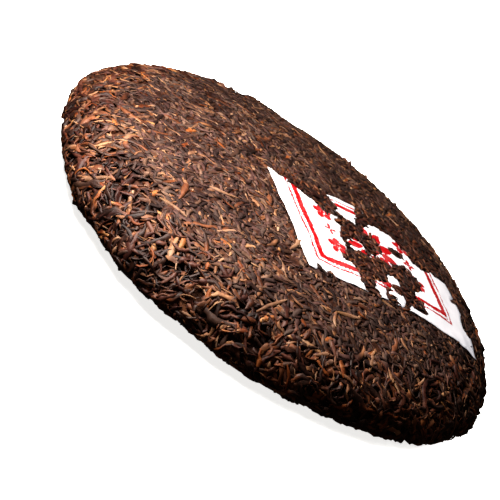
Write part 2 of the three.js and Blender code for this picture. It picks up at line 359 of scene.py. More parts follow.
def store(mesh, name, values):
    attribute = mesh.attributes.new(name, "FLOAT", "POINT")
    attribute.data.foreach_set("value", np.ascontiguousarray(values, dtype=float))


places = on_ticket(smooth_points)
top_side = smooth_points[:, 2] > RIM_HEIGHT * TOP_SIDE
inside_ticket = top_side & (abs(places[:, 0]) < TICKET_LENGTH / 2) & (abs(places[:, 1]) < TICKET_WIDTH / 2)
cover = cover_at(smooth_points)
bare = inside_ticket & (cover < BARE_BELOW)
whole = 1 - THINNED * cracked
store(skin, "pressed", (1 - rimward) * ~bare * whole)
store(skin, "loose", rimward * ~bare * whole)
store(skin, "open", 1.0 * ~bare)
store(skin, "over_ticket", 1.0 * (inside_ticket & (cover > COVERED_ABOVE)))
print("bare paper on", round(100 * bare.sum() / inside_ticket.sum()), "% of the ticket")

# %% [markdown]
# ## One way to add a node
#
# Geometry and shader trees are built in the script. One small function adds a node, sets what
# it is told and feeds its inputs: an input is named by its label or its number, and gets
# either a plain value or the output of another node. A shader that is there already is fed in
# the same way. Short words for the commonest nodes and settings keep the trees easy to read.

# %% Adding nodes
MATH = "ShaderNodeMath"
VECTOR = "ShaderNodeVectorMath"
NOISE = "ShaderNodeTexNoise"
RANGE = "ShaderNodeMapRange"
CHANCE = "FunctionNodeRandomValue"
PLACE = "GeometryNodeInputPosition"
MOVE = "GeometryNodeSetPosition"
STORE = "GeometryNodeStoreNamedAttribute"
STORED = "GeometryNodeInputNamedAttribute"

PLUS = {"operation": "ADD"}
MINUS = {"operation": "SUBTRACT"}
TIMES = {"operation": "MULTIPLY"}
SCALED = {"operation": "SCALE"}
NUMBER = {"data_type": "FLOAT"}
ARROW = {"data_type": "FLOAT_VECTOR"}
NOISE_SPAN = {1: 0.3, 2: 0.7}  # a noise texture seldom leaves this range, so Map Range starts from it


def feed(tree, node, inputs):
    for key, value in inputs.items():
        if isinstance(value, bpy.types.Node):
            value = value.outputs[0]
        if isinstance(value, bpy.types.NodeSocket):
            tree.links.new(value, node.inputs[key])
        else:
            node.inputs[key].default_value = value


def add(tree, kind, settings=None, inputs=None):
    node = tree.nodes.new(kind)
    for name, value in (settings or {}).items():
        setattr(node, name, value)
    feed(tree, node, inputs or {})
    return node


# %% [markdown]
# ## How a leaf grows on the skin
#
# A processed tea leaf is a rolled, slightly flattened strand that bends and crumples as it
# dries. Geometry Nodes suit it well, because the same rule makes thousands:
#
# 1. scatter points over the skin, no two nearer than a spacing, where a weight allows;
# 2. give each point its own heading, near that of its neighbours, because leaves lie in swirling
#    bundles, and its own length, width, bend, level and tone;
# 3. put a short line of a few points there and bend it into an arc of that length;
# 4. press every point of the arc back onto the skin, so that the strand follows the lumps;
# 5. sweep a folded section along it, thin at both tips, twisted a little.
#
# Each of these is a function of its own below. They pass on the geometry and remember what
# they found out as attributes on the points.

# %% Scatter
SWIRL_SIZE = 17.0  # distance over which the bundles of leaf change their heading


def scattered(tree, given):
    """Points on the skin that know their middle and two directions in the plane of the skin."""
    allowed = add(tree, STORED, NUMBER, {"Name": given["Where"]})
    spread = {"Mesh": given["Skin"], "Distance Min": given["Spacing"], "Density Max": given["Density"]}
    spread |= {"Density Factor": allowed, "Seed": given["Seed"]}
    scatter = add(tree, "GeometryNodeDistributePointsOnFaces", {"distribute_method": "POISSON"}, spread)
    swirl = add(tree, NOISE, {}, {"Vector": add(tree, PLACE), "Scale": 1 / SWIRL_SIZE, "Detail": 0.0})
    heading = add(tree, RANGE, {"clamp": False}, NOISE_SPAN | {0: swirl, 3: 0.0, 4: tau})
    least = add(tree, MATH, TIMES, {0: given["Stray"], 1: -1.0})
    stray = add(tree, CHANCE, NUMBER, {2: least, 3: given["Stray"], "Seed": given["Seed"]}).outputs[1]
    angle = add(tree, MATH, PLUS, {0: heading, 1: stray})
    about = add(tree, "FunctionNodeAxisAngleToRotation", {}, {"Axis": (0, 0, 1), "Angle": angle})
    turn = {"Rotation": scatter.outputs["Rotation"], "Rotate By": about}
    turned = add(tree, "FunctionNodeRotateRotation", {"rotation_space": "LOCAL"}, turn)
    points = add(tree, STORE, ARROW, {"Geometry": scatter, "Name": "centre", "Value": add(tree, PLACE)})
    for name, axis in (("forward", (1, 0, 0)), ("side", (0, 1, 0))):
        way = add(tree, "FunctionNodeRotateVector", {}, {"Vector": axis, "Rotation": turned})
        points = add(tree, STORE, ARROW, {"Geometry": points, "Name": name, "Value": way})
    return points


# %% Chances
INWARD = 0.2  # how far the tips may be pressed under the skin, at the most
BEND_LEAST = 0.05  # radians; a leaf without any bend would be an arc of endless radius
TONES = (0.12, 0.88)  # leaves the finishes room to go a little lighter and darker
FIRST_DRAW = 10.0  # added to the seed for the first of the chances below


def with_chances(tree, given, points):
    """What is chance about each leaf, drawn once for it and stored under its name."""
    ranges = {
        "length": (given["Length Min"], given["Length Max"]),
        "width": (given["Width Min"], given["Width Max"]),
        "level": (given["Level Min"], given["Level Max"]),
        "lift": (-INWARD, given["Tip Lift"]),
        "twist": (add(tree, MATH, TIMES, {0: given["Twist"], 1: -1.0}), given["Twist"]),
        "roll": (add(tree, MATH, TIMES, {0: given["Roll"], 1: -1.0}), given["Roll"]),
        "bend": (BEND_LEAST, given["Bend"]),
        "way": (-1.0, 1.0),
        "tone": TONES,
    }
    for draw, (name, (low, high)) in enumerate(ranges.items()):
        seed = add(tree, MATH, PLUS, {0: given["Seed"], 1: FIRST_DRAW + draw})
        value = add(tree, CHANCE, NUMBER, {2: low, 3: high, "Seed": seed}).outputs[1]
        points = add(tree, STORE, NUMBER, {"Geometry": points, "Name": name, "Value": value})
    return points


# %% Arcs
CRUMPLE_SIZE = 3.0  # distance over which a strand wanders, in millimetres


def arcs(tree, given, points):
    """A line at each point, bent into an arc of the leaf's own length and then crumpled."""
    line = add(tree, "GeometryNodeCurvePrimitiveLine", {}, {"Start": (0, 0, 0), "End": (1, 0, 0)})
    cut = {"Curve": line, "Count": given["Points"]}
    line = add(tree, "GeometryNodeResampleCurve", {"mode": "COUNT"}, cut)
    strands = add(tree, "GeometryNodeInstanceOnPoints", {}, {"Points": points, "Instance": line})
    strands = add(tree, "GeometryNodeRealizeInstances", {}, {"Geometry": strands})
    along = add(tree, "GeometryNodeSplineParameter").outputs["Factor"]
    strands = add(tree, STORE, NUMBER, {"Geometry": strands, "Name": "along", "Value": along})

    bend, length, way = [add(tree, STORED, NUMBER, {"Name": name}) for name in ("bend", "length", "way")]
    left_or_right = add(tree, MATH, {"operation": "SIGN"}, {0: way})
    centred = add(tree, MATH, MINUS, {0: along, 1: 0.5})
    angle = add(tree, MATH, TIMES, {0: bend, 1: centred})
    arc_radius = add(tree, MATH, {"operation": "DIVIDE"}, {0: length, 1: bend})
    ahead = add(tree, MATH, TIMES, {0: arc_radius, 1: add(tree, MATH, {"operation": "SINE"}, {0: angle})})
    short_of = add(tree, MATH, MINUS, {0: 1.0, 1: add(tree, MATH, {"operation": "COSINE"}, {0: angle})})
    aside = add(tree, MATH, TIMES, {0: arc_radius, 1: short_of})
    aside = add(tree, MATH, TIMES, {0: aside, 1: left_or_right})

    place = add(tree, STORED, ARROW, {"Name": "centre"})
    for name, amount in (("forward", ahead), ("side", aside)):
        step = add(tree, VECTOR, SCALED, {0: add(tree, STORED, ARROW, {"Name": name}), "Scale": amount})
        place = add(tree, VECTOR, PLUS, {0: place, 1: step})
    wander = add(tree, NOISE, {}, {"Vector": place, "Scale": 1 / CRUMPLE_SIZE, "Detail": 1.0})
    wander = add(tree, VECTOR, MINUS, {0: wander.outputs["Color"], 1: (0.5, 0.5, 0.5)})
    reach = add(tree, MATH, TIMES, {0: given["Crumple"], 1: 2.0})
    wander = add(tree, VECTOR, SCALED, {0: wander, "Scale": reach})
    place = add(tree, VECTOR, PLUS, {0: place, 1: wander})
    return add(tree, MOVE, {}, {"Geometry": strands, "Position": place})


# %% Pressing
def pressed(tree, given, strands):
    """The arcs laid on the skin at their own level, with the tips a little up or down."""
    here = add(tree, PLACE)
    nearest = []
    for asked in (here, add(tree, "GeometryNodeInputNormal")):
        sample = {"Mesh": given["Skin"], "Value": asked, "Sample Position": here}
        nearest.append(add(tree, "GeometryNodeSampleNearestSurface", ARROW, sample))
    on_skin, up = nearest
    strands = add(tree, STORE, ARROW, {"Geometry": strands, "Name": "up", "Value": up})
    up = add(tree, STORED, ARROW, {"Name": "up"})
    names = ("along", "lift", "level", "twist", "roll")
    along, lift, level, twist, roll = [add(tree, STORED, NUMBER, {"Name": name}) for name in names]
    from_middle = add(tree, MATH, {"operation": "MULTIPLY_ADD"}, {0: along, 1: 2.0, 2: -1.0})
    squared = add(tree, MATH, TIMES, {0: from_middle, 1: from_middle})
    tips = add(tree, MATH, TIMES, {0: squared, 1: lift})
    height = add(tree, MATH, PLUS, {0: tips, 1: level})
    raised = add(tree, VECTOR, SCALED, {0: up, "Scale": height})
    place = add(tree, VECTOR, PLUS, {0: on_skin, 1: raised})
    strands = add(tree, MOVE, {}, {"Geometry": strands, "Position": place})
    strands = add(tree, "GeometryNodeSetCurveNormal", {"mode": "FREE"}, {"Curve": strands, "Normal": up})
    centred = add(tree, MATH, MINUS, {0: along, 1: 0.5})
    twisted = add(tree, MATH, TIMES, {0: twist, 1: centred})
    tilt = add(tree, MATH, PLUS, {0: twisted, 1: roll})
    return add(tree, "GeometryNodeSetCurveTilt", {}, {"Curve": strands, "Tilt": tilt})


# %% Section
FOLD_SCALE = 1.6  # noise on a ring of radius 1, so two or three folds go round it
FOLD_SPAN = {1: 0.35, 2: 0.6}  # the noise where a fold is deepest, and where there is none


def folded_section(tree, given):
    """A ring with a few folds, flattened: the leaf rolled up on itself."""
    ring = add(tree, "GeometryNodeCurvePrimitiveCircle", {"mode": "RADIUS"}, {"Resolution": given["Sides"]})
    here = add(tree, PLACE)
    own = {"Vector": here, "W": given["Seed"], "Scale": FOLD_SCALE}
    folds = add(tree, NOISE, {"noise_dimensions": "4D"}, own)
    least = add(tree, MATH, MINUS, {0: 1.0, 1: given["Folds"]})
    reach = add(tree, RANGE, {}, FOLD_SPAN | {0: folds, 3: least, 4: 1.0})
    folded = add(tree, VECTOR, SCALED, {0: here, "Scale": reach})
    ring = add(tree, MOVE, {}, {"Geometry": ring, "Position": folded})
    around = add(tree, "GeometryNodeSplineParameter").outputs["Factor"]
    ring = add(tree, STORE, NUMBER, {"Geometry": ring, "Name": "around", "Value": around})
    squeeze = add(tree, "ShaderNodeCombineXYZ", {}, {"X": given["Flatness"], "Y": 1.0, "Z": 1.0})
    return add(tree, "GeometryNodeTransform", {}, {"Geometry": ring, "Scale": squeeze})


# %% Sweep
TIP_THINNING = 0.6  # share of the width that the tips lose
TIP_LATENESS = 3.0  # the higher this power, the nearer to the tip the thinning starts
SWELL_SIZE = 1.7  # distance over which a strand swells and shrinks, in millimetres
SWELL = {3: 0.55, 4: 1.35}  # its least and greatest width, as a share of its own
DENTS_SIZE = 1.3  # from dent to dent
FLOOR = 0.05  # the leaves' lowest height over the table, in millimetres
FAR_AWAY = -1e3  # no limit sideways


def swept(tree, given, strands):
    """The section along the strands, swelling and shrinking, dented and kept above the table."""
    along, width = [add(tree, STORED, NUMBER, {"Name": name}) for name in ("along", "width")]
    from_middle = add(tree, MATH, {"operation": "MULTIPLY_ADD"}, {0: along, 1: 2.0, 2: -1.0})
    out = add(tree, MATH, {"operation": "ABSOLUTE"}, {0: from_middle})
    out = add(tree, MATH, {"operation": "POWER"}, {0: out, 1: TIP_LATENESS})
    thinner = add(tree, MATH, {"operation": "MULTIPLY_ADD"}, {0: out, 1: -TIP_THINNING, 2: 1.0})
    swell = add(tree, NOISE, {}, {"Vector": add(tree, PLACE), "Scale": 1 / SWELL_SIZE})
    swell = add(tree, RANGE, {}, NOISE_SPAN | SWELL | {0: swell})
    half_width = add(tree, MATH, TIMES, {0: width, 1: 0.5})
    scale = add(tree, MATH, TIMES, {0: add(tree, MATH, TIMES, {0: thinner, 1: swell}), 1: half_width})
    sweep = {"Curve": strands, "Profile Curve": folded_section(tree, given)}
    sweep |= {"Scale": scale, "Fill Caps": True}
    leaves = add(tree, "GeometryNodeCurveToMesh", {}, sweep)
    here = add(tree, PLACE)
    dents = add(tree, NOISE, {}, {"Vector": here, "Scale": 1 / DENTS_SIZE}).outputs["Color"]
    dents = add(tree, VECTOR, MINUS, {0: dents, 1: (0.5, 0.5, 0.5)})
    dents = add(tree, VECTOR, SCALED, {0: dents, "Scale": given["Dents"]})
    dented = add(tree, VECTOR, PLUS, {0: here, 1: dents})
    above = add(tree, VECTOR, {"operation": "MAXIMUM"}, {0: dented, 1: (FAR_AWAY, FAR_AWAY, FLOOR)})
    return add(tree, MOVE, {}, {"Geometry": leaves, "Position": above})


# %% The leaf tree
LEAF_SIZES = {  # every number that the tree asks for, and its usual value
    "Spacing": 2.0,
    "Density": 0.5,
    "Length Min": 4.0,
    "Length Max": 10.0,
    "Width Min": 1.3,
    "Width Max": 2.6,
    "Flatness": 0.45,
    "Folds": 0.4,
    "Dents": 0.4,
    "Bend": 1.6,
    "Level Min": -0.9,
    "Level Max": 0.0,
    "Tip Lift": 0.1,
    "Twist": 1.0,
    "Roll": 0.3,
    "Crumple": 0.5,
    "Stray": 1.6,  # radians from the bundle's heading, at the most
}
WHOLE_NUMBERS = ("Seed", "Points", "Sides")
PAIRS = ("length", "width", "level")  # these have a Min and a Max


def leaf_tree():
    tree = bpy.data.node_groups.new("leaves on a skin", "GeometryNodeTree")
    sockets = [("Skin", "NodeSocketGeometry"), ("Where", "NodeSocketString")]
    sockets += [("Material", "NodeSocketMaterial")]
    sockets += [(name, "NodeSocketInt") for name in WHOLE_NUMBERS]
    sockets += [(name, "NodeSocketFloat") for name in LEAF_SIZES]
    for name, kind in sockets:
        tree.interface.new_socket(name, in_out="INPUT", socket_type=kind)
    tree.interface.new_socket("Leaves", in_out="OUTPUT", socket_type="NodeSocketGeometry")
    given = add(tree, "NodeGroupInput").outputs
    points = with_chances(tree, given, scattered(tree, given))
    strands = pressed(tree, given, arcs(tree, given, points))
    leaves = swept(tree, given, strands)
    leaves = add(tree, "GeometryNodeSetMaterial", {}, {"Geometry": leaves, "Material": given["Material"]})
    leaves = add(tree, "GeometryNodeRealizeInstances", {}, {"Geometry": leaves})
    add(tree, "NodeGroupOutput", {}, {"Leaves": leaves})
    return tree


leaves_on_a_skin = leaf_tree()
print("leaf tree:", len(leaves_on_a_skin.nodes), "nodes")

# %% [markdown]
# ## From the tree to a plain piece
#
# A modifier with the tree goes on a copy of the skin, its inputs are set by the sockets' own
# identifiers, and the evaluated result becomes a plain mesh. The helper values that the tree
# kept on the strands are dropped. Only the tone and the places along and around the leaf stay,
# for the materials. Last, the mesh goes from millimetres round its own middle to its place in
# the frame in metres.

# %% A finished piece
INTO_FRAME = Matrix.Translation(disc_middle) @ Matrix.Scale(MM, 4)
pieces = []


def piece_from(mesh, name):
    """A finished piece of the cake: in its place, riding with it and with its finish."""
    mesh.name = name
    piece = bpy.data.objects.new(name, mesh)
    bpy.context.scene.collection.objects.link(piece)
    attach(piece, "root")
    pieces.append(piece)
    return piece


# %% Growing a kind of leaf
DROPPED_DETAILS = ("centre", "forward", "side", "up", "length", "width", "level", "lift", "twist", "roll")
DROPPED_DETAILS += ("bend", "way")
TRIED = 1.6  # points tried for each square of the spacing, before those too near are taken out


def grow(name, material, where, seed, points=6, sides=6, **sizes):
    """Leaves of one kind, laid over the skin wherever the weight allows them."""
    host = bpy.data.objects.new("host", skin.copy())
    bpy.context.scene.collection.objects.link(host)
    modifier = host.modifiers.new("leaves", "NODES")
    modifier.node_group = leaves_on_a_skin
    values = {"Where": where, "Seed": seed, "Points": points, "Sides": sides, "Material": material}
    values |= LEAF_SIZES
    for key, value in sizes.items():
        label = key.replace("_", " ").title()
        values |= {f"{label} Min": value[0], f"{label} Max": value[1]} if key in PAIRS else {label: value}
    values["Density"] = TRIED / values["Spacing"] ** 2
    for item in leaves_on_a_skin.interface.items_tree:
        if item.in_out == "INPUT" and item.name in values:
            modifier[item.identifier] = values[item.name]
    evaluated = host.evaluated_get(bpy.context.evaluated_depsgraph_get())
    mesh = bpy.data.meshes.new_from_object(evaluated)
    bpy.data.objects.remove(host)
    for detail in DROPPED_DETAILS:
        if detail in mesh.attributes:
            mesh.attributes.remove(mesh.attributes[detail])
    mesh.transform(INTO_FRAME)
    mesh.shade_smooth()
    triangles = sum(len(face.vertices) - 2 for face in mesh.polygons)
    print(f"{name}: {triangles} triangles")
    return piece_from(mesh, name)

# %% [markdown]
# ## Finishes of the leaf
#
# Ripened tea goes from nearly black through plum and umber to golden buds. Each finish below
# is one of these, named for what it is. A leaf's own tone, from 0 to 1, picks its place on a
# short run of colours. Patches of the cake and blotches shift it a little, and the tip may pale
# towards the bud's colour. Wrinkles and grit shift it too, darker where their bumps are low,
# which is painted shade in the creases and pits. The wrinkles run lengthways, because the leaf
# was rolled, so they follow the places along and around the leaf that the sweep left on it. Dry
# leaf has a dull waxy gloss: dark and fairly rough, with broad soft highlights. On the crown
# the press stone rubbed the leaves and their dust fills the gaps, so the rubbed finishes are
# duller and greyer, and closer to each other in colour.

# %% What the finishes share
RAMP = "ShaderNodeValToRGB"
MIX = "ShaderNodeMix"
READ = "ShaderNodeAttribute"


def linear(code):
    """An sRGB hex colour as the linear values that a shader wants."""
    parts = [int(code[i : i + 2], 16) / 255 for i in (0, 2, 4)]
    return [p / 12.92 if p <= 0.04045 else ((p + 0.055) / 1.055) ** 2.4 for p in parts] + [1.0]


def blank_material(name):
    """A new material with its tree and its shader."""
    material = bpy.data.materials.new(name)
    material.use_nodes = True
    return material, material.node_tree, material.node_tree.nodes["Principled BSDF"]


def shifted(tree, value, patterns):
    """A value moved up and down by noises, by each as far as its own reach."""
    for pattern, reach in patterns:
        shift = add(tree, RANGE, {}, NOISE_SPAN | {0: pattern, 3: -reach, 4: reach})
        value = add(tree, MATH, PLUS, {0: value, 1: shift})
    return value


def fill_stops(ramp, colours):
    """Evenly spaced stops of the given hex colours on a ramp node that is there already."""
    stops = ramp.color_ramp.elements
    while len(stops) < len(colours):
        stops.new(1.0)
    for i, code in enumerate(colours):
        stops[i].position = i / (len(colours) - 1)
        stops[i].color = linear(code)


# %% Sizes of the leaf's pattern
PATCH = 16 * MM  # size of the lighter and darker parts of the whole cake
BLOTCH = 2.4 * MM  # size of the lighter and darker stretches of a leaf
GRIT_WITH_PIT_SHADE = 0.7 * MM  # size of the grit, bumps whose pits are painted darker as painted shade; three times as coarse as real dust, to show at all
WRINKLES_ROUND = 5.0  # wrinkles round a leaf, for the same reason half as many as on a real one
WRINKLES_ALONG = 3.0
OWN_WRINKLES = 97.0  # sets leaves of nearly the same tone far apart in the noise
SHADE_REACHES = (0.1, 0.08, 0.28, 0.38)  # of wrinkles, grit, blotches and patches, to either side; those of wrinkles and grit are painted shade, darker where their bumps are low
TIP_DRAW = 7.0  # turns the tone into a new chance, for whether the tip is pale
TIP_SPAN = {1: 0.45, 2: 0.9}  # where along the leaf its tip begins, and where it is all pale
RELIEF = 0.28  # strength of the wrinkles and the grit as bumps


# %% Leaf finish
def leaf_finish(name, colours, tip, tip_share, roughness=0.5, gloss=0.35, depth=0.25):
    """A dried leaf: its colours by tone, and the share of leaves whose tip is a paler colour."""
    material, tree, shader = blank_material(name)
    names = ("tone", "along", "around")
    tone, along, around = [add(tree, READ, {"attribute_name": name}).outputs["Fac"] for name in names]
    place = add(tree, "ShaderNodeTexCoord").outputs["Object"]

    down = add(tree, MATH, TIMES, {0: along, 1: WRINKLES_ALONG})
    across = add(tree, MATH, TIMES, {0: around, 1: WRINKLES_ROUND})
    own = add(tree, MATH, TIMES, {0: tone, 1: OWN_WRINKLES})
    unrolled = add(tree, "ShaderNodeCombineXYZ", {}, {0: down, 1: across, 2: own})
    wrinkles_with_crease_shade = add(tree, NOISE, {}, {"Vector": unrolled, "Scale": 1.0, "Detail": 2.0})
    grit_with_pit_shade, blotches, patches = [
        add(tree, NOISE, {}, {"Vector": place, "Scale": 1 / size, "Detail": detail})
        for size, detail in ((GRIT_WITH_PIT_SHADE, 3.0), (BLOTCH, 2.0), (PATCH, 1.0))
    ]
    # Wrinkles and grit shift the tone the same way as they raise the bump, so their creases and pits get
    # painted shade
    shade = shifted(tree, tone, zip((wrinkles_with_crease_shade, grit_with_pit_shade, blotches, patches), SHADE_REACHES))
    body = add(tree, RAMP, {}, {0: shade})
    fill_stops(body, colours)

    drawn = add(tree, MATH, {"operation": "FRACT"}, {0: add(tree, MATH, TIMES, {0: tone, 1: TIP_DRAW})})
    picked = add(tree, MATH, {"operation": "LESS_THAN"}, {0: drawn, 1: tip_share})
    near_tip = add(tree, RANGE, {"interpolation_type": "SMOOTHSTEP"}, TIP_SPAN | {0: along})
    tipped = add(tree, MATH, TIMES, {0: picked, 1: near_tip})
    colour = add(tree, MIX, {"data_type": "RGBA"}, {0: tipped, 6: body.outputs["Color"], 7: linear(tip)})

    relief = add(tree, MATH, PLUS, {0: wrinkles_with_crease_shade, 1: grit_with_pit_shade})
    bump = add(tree, "ShaderNodeBump", {}, {"Strength": RELIEF, "Distance": depth * MM, "Height": relief})
    surface = {"Base Color": colour.outputs[2], "Normal": bump}
    feed(tree, shader, surface | {"Roughness": roughness, "Specular IOR Level": gloss})
    return material


# %% Finishes of loose leaf
# Rolled and ripened leaf: dark and waxy, with a soft highlight along each strand
BLACKS = ["1c0e0a", "2a1813", "3a261f", "4a352b"]
PLUMS = ["2a120d", "40211a", "573328", "6e493a"]
UMBERS = ["34180c", "4e2a18", "683c24", "7e5036"]
black_leaf = leaf_finish("ripened black leaf", BLACKS, "7d4828", 0.15, 0.5, 0.32)
plum_leaf = leaf_finish("plum brown leaf", PLUMS, "8c5a3c", 0.2, 0.5, 0.32)
umber_leaf = leaf_finish("umber leaf", UMBERS, "906444", 0.25, 0.55)
# Leaf that got more air while it ripened: rust red and a little duller
RUSTS = ["56280f", "743b1b", "8e5027", "a2683c"]
rusty_leaf = leaf_finish("rusty leaf", RUSTS, "b08254", 0.3, 0.55)
# Buds still in their down, and stalks dried hard: pale and nearly matt
GOLDS = ["5e3f2a", "7c563e", "946a4c", "a6805e"]
STRAWS = ["5a3c2c", "7d5b44", "9d7b62"]
golden_bud = leaf_finish("golden bud", GOLDS, "b29074", 0.4, 0.6, 0.3)
pale_stem = leaf_finish("dried stem", STRAWS, "7a5a3c", 0.3, 0.6)
# Leaf broken in the rolling: bits of every kind, so its colours run from black to tan
BROKEN = ["1b0d08", "391d11", "5b3722", "805539"]
broken_leaf = leaf_finish("broken leaf", BROKEN, "9a6e4a", 0.2, 0.55)

# %% Finishes of rubbed leaf
# Leaf that the press stone rubbed, with dust in its pores: greyer, and almost without a highlight
RUBBED_BLACKS = ["2b1f1d", "3c2e2b", "4a3b36", "574841"]
RUBBED_PLUMS = ["332220", "48322e", "59413c", "69504a"]
RUBBED_UMBERS = ["3c2920", "523b30", "674f41", "7a6152"]
rubbed_black = leaf_finish("rubbed black leaf", RUBBED_BLACKS, "6a5044", 0.2, 0.7, 0.15)
rubbed_plum = leaf_finish("rubbed plum leaf", RUBBED_PLUMS, "785e54", 0.2, 0.7, 0.15)
rubbed_umber = leaf_finish("rubbed umber leaf", RUBBED_UMBERS, "866a5a", 0.2, 0.7, 0.15)
print("leaf finishes:", len(bpy.data.materials))

# %% [markdown]
# ## The pressed mass
#
# Under the leaves that can be told apart lies more leaf, seen only as dark gaps. The skin
# itself, sunk a little and roughened, stands for it. On the crown it lies so close under the
# leaves that they stand out of it only as low relief. It takes the place of the cake's solid.

# %% The mass under the leaves
CORE_SINK_CROWN = 0.4
CORE_SINK_RIM = 2.0
CORE_ROUGHNESS = [(5.0, 0.35), (2.2, 0.3)]
# Dust and bits of leaf pressed solid: dark and so rough that it hardly shines
MASS_COLOURS = ["2a140d", "422619", "573828"]

core = skin.copy()
core_points = read_points(core)
sink = CORE_SINK_CROWN + (CORE_SINK_RIM - CORE_SINK_CROWN) * rimward
core_points += read_normals(core) * (lumps(core_points, CORE_ROUGHNESS, seed=9) - sink)[:, None]
core_points[:, 2] = np.maximum(core_points[:, 2], 2 * FLOOR)
write_points(core, core_points)
store(core, "tone", np.random.default_rng(3).random(len(core.vertices)))
core.transform(INTO_FRAME)
core.shade_smooth()
core.materials.append(leaf_finish("pressed mass", MASS_COLOURS, "422b20", 0.3, 0.65, 0.2, 0.6))
cake_core = piece_from(core, "cake_core")
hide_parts("tea_cake")
print("cake_core:", len(core.polygons), "triangles")

# %% [markdown]
# ## Leaves of every kind
#
# On the crown and the foot the stone pressed them flat, one beside the other, with a few broad
# leaves among them. Out on the rim they are rounder and more bent, with deep gaps between
# them, and a few are large or bent into rusty hooks. Dark leaves are laid closest, brown ones
# among them, and golden buds and stems only here and there. Flakes and crumbs of broken leaf
# lie all over. Each kind is one call: its finish, where it may lie, its own seed, how far
# apart its leaves are, and the sizes that differ from the usual ones. Sizes between a least
# and a greatest are pairs.

# %% Pressed leaves of the crown and the foot
PRESSED = {"points": 4, "sides": 5, "length": (3.0, 8.0), "width": (1.4, 3.0), "level": (-0.3, -0.12)}
PRESSED |= {"flatness": 0.15, "bend": 1.7, "twist": 0.4, "roll": 0.1, "crumple": 1.0}
PRESSED |= {"tip_lift": -0.05, "dents": 0.3, "stray": 1.3}
grow("pressed_black", rubbed_black, "pressed", 11, spacing=2.3, **PRESSED)
grow("pressed_plum", rubbed_plum, "pressed", 12, spacing=2.35, **PRESSED)
grow("pressed_umber", rubbed_umber, "pressed", 13, spacing=2.8, **PRESSED)
BUDS = PRESSED | {"length": (3.5, 9.0), "width": (1.3, 2.4)}
grow("pressed_buds", golden_bud, "pressed", 14, spacing=7.6, **BUDS)

BROAD = PRESSED | {"points": 8, "length": (8.0, 16.0), "width": (2.4, 4.2), "flatness": 0.16}
BROAD |= {"bend": 1.3, "folds": 0.5, "stray": 1.0}
grow("broad_black", black_leaf, "pressed", 15, spacing=9.5, **BROAD)
grow("broad_umber", umber_leaf, "pressed", 16, spacing=14.0, **BROAD)
PALE = BROAD | {"length": (8.0, 13.0), "width": (2.0, 3.4)}
grow("broad_pale", golden_bud, "open", 17, spacing=14.0, **PALE)

# %% Loose leaves of the rim
LOOSE = {"points": 5, "sides": 6, "length": (3.5, 9.0), "width": (1.3, 3.2), "level": (-1.2, -0.1)}
LOOSE |= {"flatness": 0.42, "bend": 2.3, "tip_lift": 0.08, "twist": 2.2, "crumple": 1.3}
LOOSE |= {"roll": 1.0, "folds": 0.6, "dents": 1.0, "stray": 0.9}
grow("loose_black", black_leaf, "loose", 21, spacing=2.25, **LOOSE)
grow("loose_plum", plum_leaf, "loose", 22, spacing=2.7, **LOOSE)
grow("loose_umber", umber_leaf, "loose", 23, spacing=4.1, **LOOSE)

LARGE = LOOSE | {"points": 9, "length": (9.0, 18.0), "width": (2.6, 4.4), "level": (-1.0, -0.3)}
LARGE |= {"tip_lift": 0.0}
grow("large_black", black_leaf, "loose", 25, spacing=8.0, **LARGE)
grow("large_plum", plum_leaf, "loose", 26, spacing=13.0, **LARGE)

LOOSE_BUDS = LOOSE | {"length": (5.0, 10.0), "width": (1.1, 1.9), "level": (-0.6, -0.1)}
grow("loose_buds", golden_bud, "loose", 24, spacing=6.2, **LOOSE_BUDS)
HOOKS = LOOSE | {"points": 8, "length": (7.0, 13.0), "width": (1.6, 2.5), "level": (-0.4, 0.0)}
HOOKS |= {"bend": 3.4}
grow("hooks", rusty_leaf, "loose", 27, spacing=12.0, **HOOKS)

# %% Stems, flakes and crumbs
STEMS = {"length": (7.0, 16.0), "width": (1.6, 2.6), "level": (-0.5, -0.1)}
STEMS |= {"bend": 0.6, "crumple": 0.4, "twist": 0.8}
grow("stems", pale_stem, "open", 31, spacing=18.0, **STEMS)

FLAKES = {"points": 4, "length": (3.5, 7.5), "width": (2.4, 4.0), "level": (-0.4, -0.15)}
FLAKES |= {"flatness": 0.1, "bend": 0.6, "crumple": 1.2, "dents": 0.7}
grow("flakes", broken_leaf, "open", 32, spacing=6.0, **FLAKES)
grow("rusty_flakes", rusty_leaf, "open", 35, spacing=10.5, **FLAKES)

CRUMBS = {"points": 3, "sides": 5, "length": (1.4, 3.4), "width": (0.8, 1.7), "level": (-0.3, 0.05)}
CRUMBS |= {"flatness": 0.5, "bend": 0.8}
grow("crumbs", broken_leaf, "open", 33, spacing=5.0, **CRUMBS)
grow("bud_crumbs", golden_bud, "open", 34, spacing=7.0, **CRUMBS)

# %% [markdown]
# ## The paper ticket
#
# A slip of thin white rag paper goes into the press with the leaf, so it takes the shape of
# what lies under it. A fine grid is dropped onto the skin from above, evened out as paper
# bridges small gaps, and given a little thickness. Its edges are cut by hand, so they wander
# by part of a millimetre.

# %% Ticket grid
PAPER_STEP = 1.0
EDGE_WANDER = 0.5
WANDER_SIZE = 9.0
WANDER_SEED = 4.0
EDGE_ONLY = 6  # a high power keeps the wandering to the edge
CORNER_PULL = (3.0, -2.5)  # the corner low on the right was cut a little too far out


